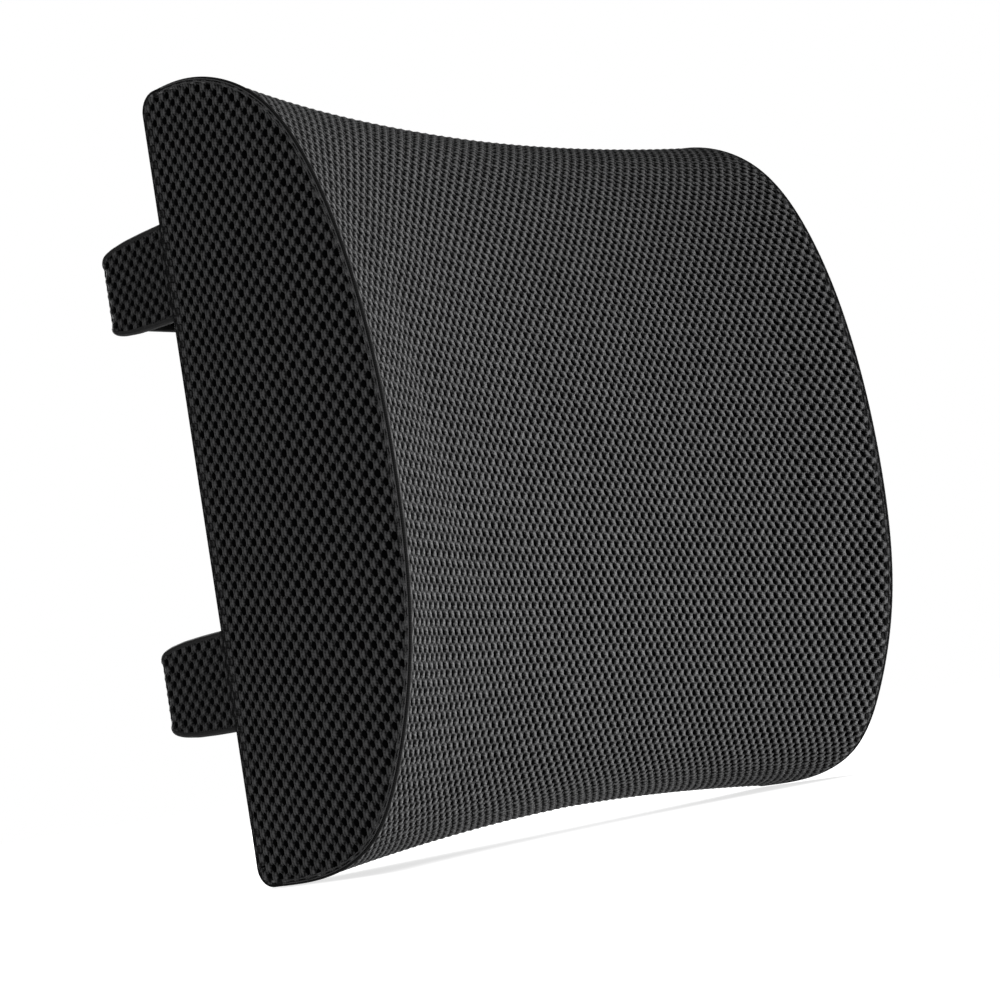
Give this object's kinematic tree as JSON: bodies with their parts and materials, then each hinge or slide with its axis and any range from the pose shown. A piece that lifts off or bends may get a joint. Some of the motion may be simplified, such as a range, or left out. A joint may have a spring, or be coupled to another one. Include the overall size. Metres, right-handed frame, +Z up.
{
  "type": "lumbar support cushion",
  "caption": "D-section lumbar cushion with a sideways-hollow front in a zipped spacer-mesh cover, with adjustable straps behind for a chair back.",
  "frame": {"origin": "middle of the flat back face, which lies against the chair's back", "axes": "+Z up when in use, +Y out of the flat back towards the chair, -Y the bulging front, X across the back"},
  "size_m": [0.34, 0.1656, 0.333],
  "materials": {
    "front_mesh": "open spacer mesh, stretched",
    "side_mesh": "open spacer mesh",
    "back_mesh": "spacer mesh",
    "tab_mesh": "spacer mesh with a bound edge",
    "foam": "slow-recovery foam",
    "liner": "thin knitted liner",
    "zip_tape": "woven tape",
    "zip_teeth": "moulded teeth",
    "zip_metal": "black lacquer",
    "webbing": "ribbed elastic webbing",
    "thread": "polyester thread",
    "buckle_plastic": "fine-grained acetal"
  },
  "bodies": {
    "root": {"foam_core": "foam", "inner_liner": "liner", "front_panel": "front_mesh", "left_side_panel": "side_mesh", "right_side_panel": "side_mesh", "back_panel": "back_mesh", "back_lower_strip": "back_mesh", "zip_tape_upper": "zip_tape", "zip_tape_lower": "zip_tape", "zip_teeth_upper": "zip_teeth", "zip_teeth_lower": "zip_teeth", "zip_stops": "zip_metal", "upper_left_tab": "tab_mesh", "upper_right_tab": "tab_mesh", "upper_left_webbing": "webbing", "upper_right_webbing": "webbing", "upper_box_stitches": "thread", "upper_buckle_socket": "buckle_plastic", "lower_left_tab": "tab_mesh", "lower_right_tab": "tab_mesh", "lower_left_webbing": "webbing", "lower_right_webbing": "webbing", "lower_box_stitches": "thread", "lower_buckle_socket": "buckle_plastic"},
    "zip_slider": {"zip_slider": "zip_metal"},
    "zip_pull": {"zip_pull": "zip_metal"},
    "upper_plug": {"upper_buckle_plug": "buckle_plastic"},
    "upper_top_prong": {"upper_top_prong": "buckle_plastic"},
    "upper_bottom_prong": {"upper_bottom_prong": "buckle_plastic"},
    "upper_tri_glide": {"upper_tri_glide": "buckle_plastic"},
    "lower_plug": {"lower_buckle_plug": "buckle_plastic"},
    "lower_top_prong": {"lower_top_prong": "buckle_plastic"},
    "lower_bottom_prong": {"lower_bottom_prong": "buckle_plastic"},
    "lower_tri_glide": {"lower_tri_glide": "buckle_plastic"}
  },
  "joints": [
    {"name": "zip_slide", "type": "slide", "parent": "root", "child": "zip_slider", "axis": [1, 0, 0], "range_m": [0, 0.282]},
    {"name": "zip_pull_flip", "type": "hinge", "parent": "zip_slider", "child": "zip_pull", "pos_m": [-0.141, 0.0029, -0.1325], "axis": [0, 0, 1], "range_deg": [0, 172]},
    {"name": "upper_buckle_release", "type": "slide", "parent": "root", "child": "upper_plug", "axis": [1, 0, 0], "range_m": [0, 0.024], "deforming": ["upper_right_webbing"]},
    {"name": "upper_top_prong_squeeze", "type": "hinge", "parent": "upper_plug", "child": "upper_top_prong", "pos_m": [0.0019, 0.0478, 0.1024], "axis": [0, -1, 0], "range_deg": [0, 11.5], "stiffness_Nm_per_rad": 0.02},
    {"name": "upper_bottom_prong_squeeze", "type": "hinge", "parent": "upper_plug", "child": "upper_bottom_prong", "pos_m": [0.0019, 0.0478, 0.0786], "axis": [0, 1, 0], "range_deg": [0, 11.5], "stiffness_Nm_per_rad": 0.02},
    {"name": "upper_strap_adjust", "type": "slide", "parent": "root", "child": "upper_tri_glide", "axis": [1, 0, 0], "range_m": [-0.008, 0.014]},
    {"name": "lower_buckle_release", "type": "slide", "parent": "root", "child": "lower_plug", "axis": [1, 0, 0], "range_m": [0, 0.024], "deforming": ["lower_right_webbing"]},
    {"name": "lower_top_prong_squeeze", "type": "hinge", "parent": "lower_plug", "child": "lower_top_prong", "pos_m": [0.0019, 0.0478, -0.0696], "axis": [0, -1, 0], "range_deg": [0, 11.5], "stiffness_Nm_per_rad": 0.02},
    {"name": "lower_bottom_prong_squeeze", "type": "hinge", "parent": "lower_plug", "child": "lower_bottom_prong", "pos_m": [0.0019, 0.0478, -0.0934], "axis": [0, 1, 0], "range_deg": [0, 11.5], "stiffness_Nm_per_rad": 0.02},
    {"name": "lower_strap_adjust", "type": "slide", "parent": "root", "child": "lower_tri_glide", "axis": [1, 0, 0], "range_m": [-0.008, 0.014]}
  ],
  "couplings": [
    {"joint": "upper_top_prong_squeeze", "follows": "upper_buckle_release", "rad_per_m": 8},
    {"joint": "upper_bottom_prong_squeeze", "follows": "upper_buckle_release", "rad_per_m": 8},
    {"joint": "lower_top_prong_squeeze", "follows": "lower_buckle_release", "rad_per_m": 8},
    {"joint": "lower_bottom_prong_squeeze", "follows": "lower_buckle_release", "rad_per_m": 8}
  ]
}
